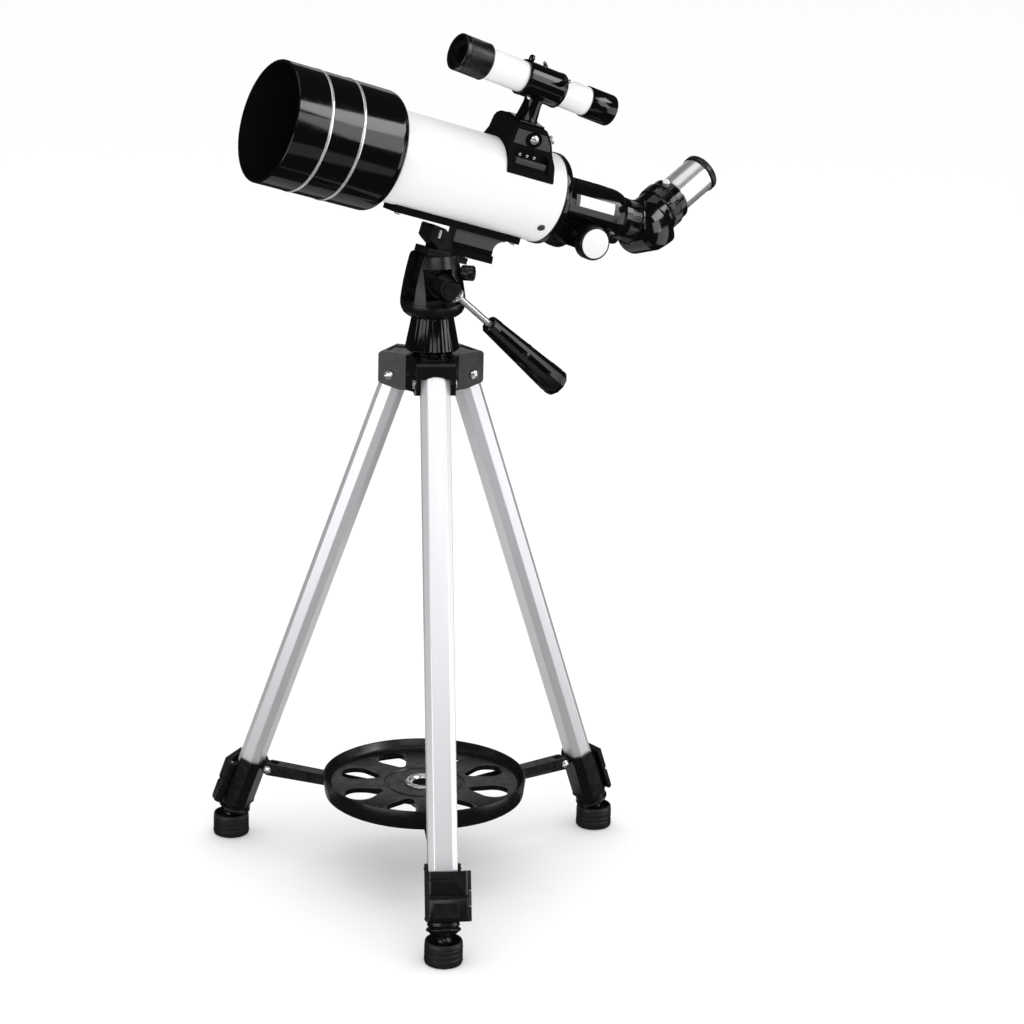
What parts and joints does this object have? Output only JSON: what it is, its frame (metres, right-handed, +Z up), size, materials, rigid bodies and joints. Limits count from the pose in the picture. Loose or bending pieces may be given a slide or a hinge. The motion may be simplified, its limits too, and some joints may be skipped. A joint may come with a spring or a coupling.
{
  "type": "telescope on tripod",
  "caption": "Small refracting telescope with finder, diagonal and eyepiece on a pan and tilt head, on a tripod with telescopic legs and a round accessory tray.",
  "frame": {"origin": "centre of the bounding box in plan, at floor level", "axes": "+Z up along the tripod's axis; the front leg points to -Y; the objective looks towards -X and slightly -Y, upwards"},
  "size_m": [0.4356, 0.3354, 0.7293],
  "materials": {
    "leg_aluminium": "satin anodised aluminium, drawn along the leg",
    "foot_rubber": "matte black rubber",
    "white_paint": "glossy white enamel",
    "gloss_black": "glossy black moulding",
    "matte_black": "satin black moulding with a fine grain",
    "lens_glass": "coated optical glass",
    "eyepiece_silver": "bright turned aluminium",
    "chrome": "bright plated steel"
  },
  "bodies": {
    "root": {"hub": "matte_black", "neck_cone": "gloss_black", "hub_bolt_front": "chrome", "hub_bolt_right": "chrome", "hub_bolt_left": "chrome"},
    "leg_front": {"leg_tube_front": "leg_aluminium", "leg_clamp_front": "matte_black"},
    "lever_front": {"lock_lever_front": "matte_black"},
    "lower_leg_front": {"leg_extension_front": "matte_black"},
    "foot_front": {"foot_cup_front": "foot_rubber"},
    "arm_front": {"spreader_arm_front": "matte_black", "arm_bolt_front": "chrome"},
    "leg_right": {"leg_tube_right": "leg_aluminium", "leg_clamp_right": "matte_black"},
    "lever_right": {"lock_lever_right": "matte_black"},
    "lower_leg_right": {"leg_extension_right": "matte_black"},
    "foot_right": {"foot_cup_right": "foot_rubber"},
    "arm_right": {"spreader_arm_right": "matte_black", "arm_bolt_right": "chrome"},
    "leg_left": {"leg_tube_left": "leg_aluminium", "leg_clamp_left": "matte_black"},
    "lever_left": {"lock_lever_left": "matte_black"},
    "lower_leg_left": {"leg_extension_left": "matte_black"},
    "foot_left": {"foot_cup_left": "foot_rubber"},
    "arm_left": {"spreader_arm_left": "matte_black", "arm_bolt_left": "chrome"},
    "tray_hub": {"tray": "matte_black", "tray_screw": "chrome", "spreader_hub": "matte_black"},
    "pan_head": {"pan_body": "matte_black"},
    "pan_clamp": {"pan_knob": "matte_black"},
    "optical_tube": {"tilt_cradle": "matte_black", "platform": "matte_black", "mount_rail": "matte_black", "main_tube": "white_paint", "dew_shield": "gloss_black", "objective_cell": "matte_black", "objective_lens": "lens_glass", "focuser_body": "gloss_black", "finder_base": "matte_black", "finder_bracket": "gloss_black", "finder_tube": "white_paint", "finder_hood": "matte_black", "finder_objective": "lens_glass", "finder_eyepiece": "gloss_black"},
    "handle": {"handle_rod": "chrome", "handle_grip": "gloss_black"},
    "platform_clamp": {"platform_screw": "chrome"},
    "focus_knobs": {"focus_shaft": "chrome", "focus_knob_near": "matte_black", "focus_knob_far": "matte_black"},
    "draw": {"draw_tube": "gloss_black"},
    "focus_lock": {"focus_lock_screw": "chrome"},
    "diagonal": {"diagonal_housing": "matte_black", "diagonal_prism": "lens_glass"},
    "diagonal_clamp": {"diagonal_screw": "chrome"},
    "eyepiece": {"eyepiece_barrel": "eyepiece_silver", "eyecup": "matte_black"},
    "finder_clamp_near": {"finder_screw_near": "matte_black"},
    "finder_clamp_far": {"finder_screw_far": "matte_black"}
  },
  "joints": [
    {"name": "leg_fold_front", "type": "hinge", "parent": "root", "child": "leg_front", "pos_m": [-0.03606, 0.0062, 0.44447], "axis": [1, 0, 0], "range_deg": [0, 5]},
    {"name": "lever_swing_front", "type": "hinge", "parent": "leg_front", "child": "lever_front", "pos_m": [-0.01786, -0.14882, 0.054], "axis": [0, 0.3474, 0.9377], "range_deg": [0, 100]},
    {"name": "leg_extend_front", "type": "slide", "parent": "leg_front", "child": "lower_leg_front", "axis": [0, -0.3474, -0.9377], "range_m": [0, 0.29]},
    {"name": "foot_swivel_front", "type": "hinge", "parent": "lower_leg_front", "child": "foot_front", "pos_m": [-0.03606, -0.15181, 0.018], "axis": [1, 0, 0], "range_deg": [-5, 0]},
    {"name": "arm_swing_front", "type": "hinge", "parent": "leg_front", "child": "arm_front", "pos_m": [-0.03606, -0.11223, 0.06871], "axis": [1, 0, 0], "range_deg": [0, 36]},
    {"name": "leg_fold_right", "type": "hinge", "parent": "root", "child": "leg_right", "pos_m": [-0.00887, 0.0533, 0.44447], "axis": [-0.5, 0.866, 0], "range_deg": [0, 5]},
    {"name": "lever_swing_right", "type": "hinge", "parent": "leg_right", "child": "lever_right", "pos_m": [0.11628, 0.14657, 0.054], "axis": [-0.3009, -0.1737, 0.9377], "range_deg": [0, 100]},
    {"name": "leg_extend_right", "type": "slide", "parent": "leg_right", "child": "lower_leg_right", "axis": [0.3009, 0.1737, -0.9377], "range_m": [0, 0.29]},
    {"name": "foot_swivel_right", "type": "hinge", "parent": "lower_leg_right", "child": "foot_right", "pos_m": [0.12797, 0.13231, 0.018], "axis": [-0.5, 0.866, 0], "range_deg": [-5, 0]},
    {"name": "arm_swing_right", "type": "hinge", "parent": "leg_right", "child": "arm_right", "pos_m": [0.09369, 0.11251, 0.06871], "axis": [-0.5, 0.866, 0], "range_deg": [0, 36]},
    {"name": "leg_fold_left", "type": "hinge", "parent": "root", "child": "leg_left", "pos_m": [-0.06326, 0.0533, 0.44447], "axis": [-0.5, -0.866, 0], "range_deg": [0, 5]},
    {"name": "lever_swing_left", "type": "hinge", "parent": "leg_left", "child": "lever_left", "pos_m": [-0.2066, 0.11505, 0.054], "axis": [0.3009, -0.1737, 0.9377], "range_deg": [0, 100]},
    {"name": "leg_extend_left", "type": "slide", "parent": "leg_left", "child": "lower_leg_left", "axis": [-0.3009, 0.1737, -0.9377], "range_m": [0, 0.29]},
    {"name": "foot_swivel_left", "type": "hinge", "parent": "lower_leg_left", "child": "foot_left", "pos_m": [-0.2001, 0.13231, 0.018], "axis": [-0.5, -0.866, 0], "range_deg": [-5, 0]},
    {"name": "arm_swing_left", "type": "hinge", "parent": "leg_left", "child": "arm_left", "pos_m": [-0.16582, 0.11251, 0.06871], "axis": [-0.5, -0.866, 0], "range_deg": [0, 36]},
    {"name": "tray_lift", "type": "slide", "parent": "root", "child": "tray_hub", "axis": [0, 0, 1], "range_m": [0, 0.0765]},
    {"name": "pan", "type": "hinge", "parent": "root", "child": "pan_head", "pos_m": [-0.03606, 0.0376, 0.52007], "axis": [0, 0, 1], "continuous": true},
    {"name": "pan_knob_turn", "type": "hinge", "parent": "pan_head", "child": "pan_clamp", "pos_m": [-0.01257, 0.02905, 0.53307], "axis": [0.9397, -0.342, 0], "range_deg": [0, 360]},
    {"name": "tilt", "type": "hinge", "parent": "pan_head", "child": "optical_tube", "pos_m": [-0.02604, 0.01253, 0.52407], "axis": [0.3714, -0.9285, 0], "range_deg": [-8, 30]},
    {"name": "handle_twist", "type": "hinge", "parent": "optical_tube", "child": "handle", "pos_m": [-0.00501, 0.02094, 0.50439], "axis": [0.7007, 0.2803, -0.6561], "range_deg": [0, 360]},
    {"name": "platform_screw_turn", "type": "hinge", "parent": "optical_tube", "child": "platform_clamp", "pos_m": [-0.02069, 0.04375, 0.54037], "axis": [-0.2746, -0.1098, -0.9553], "range_deg": [0, 360]},
    {"name": "focus_turn", "type": "hinge", "parent": "optical_tube", "child": "focus_knobs", "pos_m": [0.08723, 0.08692, 0.55233], "axis": [-0.3714, 0.9285, 0], "range_deg": [0, 540]},
    {"name": "focus_travel", "type": "slide", "parent": "optical_tube", "child": "draw", "axis": [0.887, 0.3548, -0.2957], "range_m": [0, 0.036]},
    {"name": "focus_lock_turn", "type": "hinge", "parent": "optical_tube", "child": "focus_lock", "pos_m": [0.11383, 0.09756, 0.5688], "axis": [0.1467, -0.8236, -0.5479], "range_deg": [0, 360]},
    {"name": "diagonal_turn", "type": "hinge", "parent": "draw", "child": "diagonal", "pos_m": [0.14754, 0.11104, 0.55756], "axis": [0.887, 0.3548, -0.2957], "range_deg": [-90, 90]},
    {"name": "diagonal_screw_turn", "type": "hinge", "parent": "diagonal", "child": "diagonal_clamp", "pos_m": [0.17193, 0.12862, 0.57342], "axis": [-0.1366, -0.5522, 0.8225], "range_deg": [0, 360]},
    {"name": "eyepiece_pull", "type": "slide", "parent": "diagonal", "child": "eyepiece", "axis": [0.7175, 0.5173, 0.4664], "range_m": [0, 0.03]},
    {"name": "finder_screw_near_turn", "type": "hinge", "parent": "optical_tube", "child": "finder_clamp_near", "pos_m": [0.0596, 0.05908, 0.68131], "axis": [0.4734, -0.8225, 0.3153], "range_deg": [0, 360]},
    {"name": "finder_screw_far_turn", "type": "hinge", "parent": "optical_tube", "child": "finder_clamp_far", "pos_m": [0.0596, 0.05908, 0.68131], "axis": [-0.0775, 0.7943, 0.6026], "range_deg": [0, 360]}
  ],
  "couplings": [
    {"joint": "foot_swivel_front", "follows": "leg_fold_front", "ratio": -1},
    {"joint": "arm_swing_front", "follows": "leg_fold_front", "ratio": 7.09},
    {"joint": "leg_fold_right", "follows": "leg_fold_front", "ratio": 1},
    {"joint": "foot_swivel_right", "follows": "leg_fold_front", "ratio": -1},
    {"joint": "arm_swing_right", "follows": "leg_fold_front", "ratio": 7.09},
    {"joint": "leg_fold_left", "follows": "leg_fold_front", "ratio": 1},
    {"joint": "foot_swivel_left", "follows": "leg_fold_front", "ratio": -1},
    {"joint": "arm_swing_left", "follows": "leg_fold_front", "ratio": 7.09},
    {"joint": "tray_lift", "follows": "leg_fold_front", "m_per_rad": 0.874},
    {"joint": "focus_turn", "follows": "focus_travel", "rad_per_m": 261.8}
  ]
}
